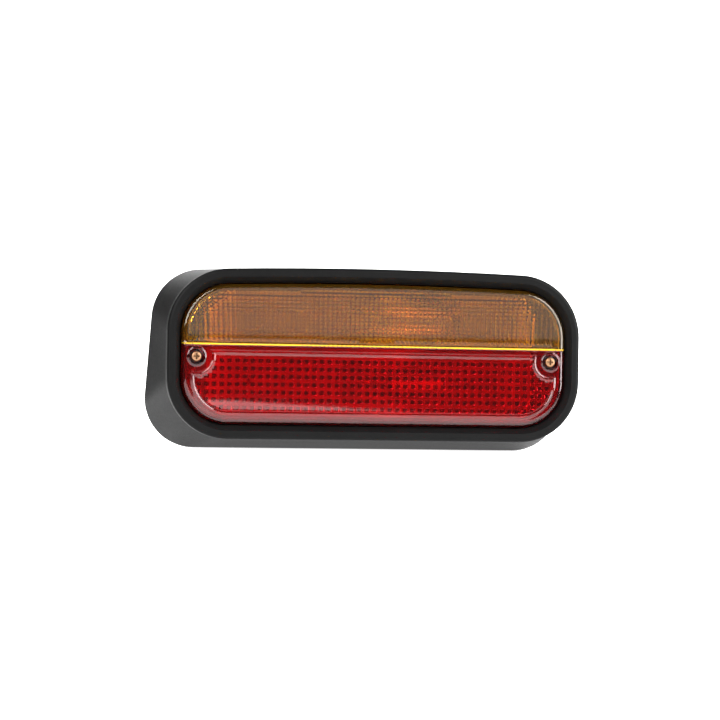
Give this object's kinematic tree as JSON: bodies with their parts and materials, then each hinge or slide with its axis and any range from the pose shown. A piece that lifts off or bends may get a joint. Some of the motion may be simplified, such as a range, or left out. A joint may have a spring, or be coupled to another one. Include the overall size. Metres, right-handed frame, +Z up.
{
  "type": "trailer tail light",
  "caption": "Rear combination lamp: flared black housing, amber indicator lens over a red stop and tail lens, bayonet bulbs inside, rear studs and connector.",
  "frame": {"origin": "on the flat back face, on the axis of the front rim", "axes": "-Y is the way the lamp shines, +Z is up, +X is to the right seen from the front"},
  "size_m": [0.2368, 0.072, 0.1002],
  "materials": {
    "black_plastic": "fine moulded grain",
    "amber_lens": "clear amber acrylic with prism optics",
    "red_lens": "clear red acrylic with pillow optics",
    "black_rubber": "soft sealing rubber",
    "washer_rubber": "sealing washer",
    "zinc_screw": "yellow zinc plate",
    "zinc_stud": "bright zinc plate",
    "zinc_holder": "zinc-plated pressing",
    "metallised_reflector": "vacuum metallised plastic",
    "bulb_glass": "clear soft glass",
    "tungsten": "drawn wire",
    "brass_cap": "rolled brass",
    "brass": "stamped brass",
    "black_glass": "black insulating glass",
    "solder": "dull solder",
    "phenolic": "brown laminate",
    "spring_steel": "spring wire"
  },
  "bodies": {
    "lamp_base": {"amber_bulb_holder": "zinc_holder", "amber_holder_disc": "phenolic", "amber_reflector": "metallised_reflector", "amber_spring": "spring_steel", "breather": "black_rubber", "connector_seal": "black_rubber", "connector_shell": "black_plastic", "divider": "black_plastic", "earth_strip": "brass", "housing": "black_plastic", "indicator_strip": "brass", "lens_gasket": "black_rubber", "mounting_studs": "zinc_stud", "red_bulb_holder": "zinc_holder", "red_holder_disc": "phenolic", "red_reflector": "metallised_reflector", "red_spring": "spring_steel", "stop_strip": "brass", "tail_strip": "brass", "terminals": "brass"},
    "lens": {"amber_lens": "amber_lens", "red_lens": "red_lens"},
    "screw_seat_left": {"screw_washer_left": "washer_rubber"},
    "screw_left": {"lens_screw_left": "zinc_screw"},
    "screw_seat_right": {"screw_washer_right": "washer_rubber"},
    "screw_right": {"lens_screw_right": "zinc_screw"},
    "amber_press": {"amber_plunger": "phenolic", "amber_plunger_contact": "brass"},
    "amber_bulb": {"amber_bulb_glass": "bulb_glass", "amber_bulb_filament": "tungsten", "amber_bulb_cap": "brass_cap", "amber_bulb_insulator": "black_glass", "amber_bulb_contact": "solder"},
    "red_press": {"red_plunger": "phenolic", "red_plunger_contact": "brass"},
    "red_bulb": {"red_bulb_glass": "bulb_glass", "red_bulb_filament": "tungsten", "red_bulb_cap": "brass_cap", "red_bulb_insulator": "black_glass", "red_bulb_contact": "solder"}
  },
  "joints": [
    {"name": "lens_removal", "type": "slide", "parent": "lamp_base", "child": "lens", "axis": [0, -1, 0], "range_m": [0, 0.06]},
    {"name": "screw_travel_left", "type": "slide", "parent": "lens", "child": "screw_seat_left", "axis": [0, -1, 0], "range_m": [0, 0.0121]},
    {"name": "screw_turn_left", "type": "hinge", "parent": "screw_seat_left", "child": "screw_left", "pos_m": [-0.098, -0.05, -0.001], "axis": [0, -1, 0], "range_deg": [0, 3960]},
    {"name": "screw_travel_right", "type": "slide", "parent": "lens", "child": "screw_seat_right", "axis": [0, -1, 0], "range_m": [0, 0.0121]},
    {"name": "screw_turn_right", "type": "hinge", "parent": "screw_seat_right", "child": "screw_right", "pos_m": [0.098, -0.05, -0.001], "axis": [0, -1, 0], "range_deg": [0, 3960]},
    {"name": "amber_bulb_press", "type": "slide", "parent": "lamp_base", "child": "amber_press", "axis": [1, 0, 0], "range_m": [0, 0.0015], "stiffness_N_per_m": 2000, "springref_m": -0.002, "deforming": ["amber_spring"]},
    {"name": "amber_bulb_turn", "type": "hinge", "parent": "amber_press", "child": "amber_bulb", "pos_m": [0.0245, -0.022, 0.02024], "axis": [1, 0, 0], "range_deg": [0, 20]},
    {"name": "red_bulb_press", "type": "slide", "parent": "lamp_base", "child": "red_press", "axis": [1, 0, 0], "range_m": [0, 0.0015], "stiffness_N_per_m": 2000, "springref_m": -0.002, "deforming": ["red_spring"]},
    {"name": "red_bulb_turn", "type": "hinge", "parent": "red_press", "child": "red_bulb", "pos_m": [0.0245, -0.022, -0.01375], "axis": [1, 0, 0], "range_deg": [0, 20]}
  ],
  "couplings": [
    {"joint": "screw_turn_left", "follows": "screw_travel_left", "rad_per_m": 5712},
    {"joint": "screw_turn_right", "follows": "screw_travel_right", "rad_per_m": 5712}
  ]
}
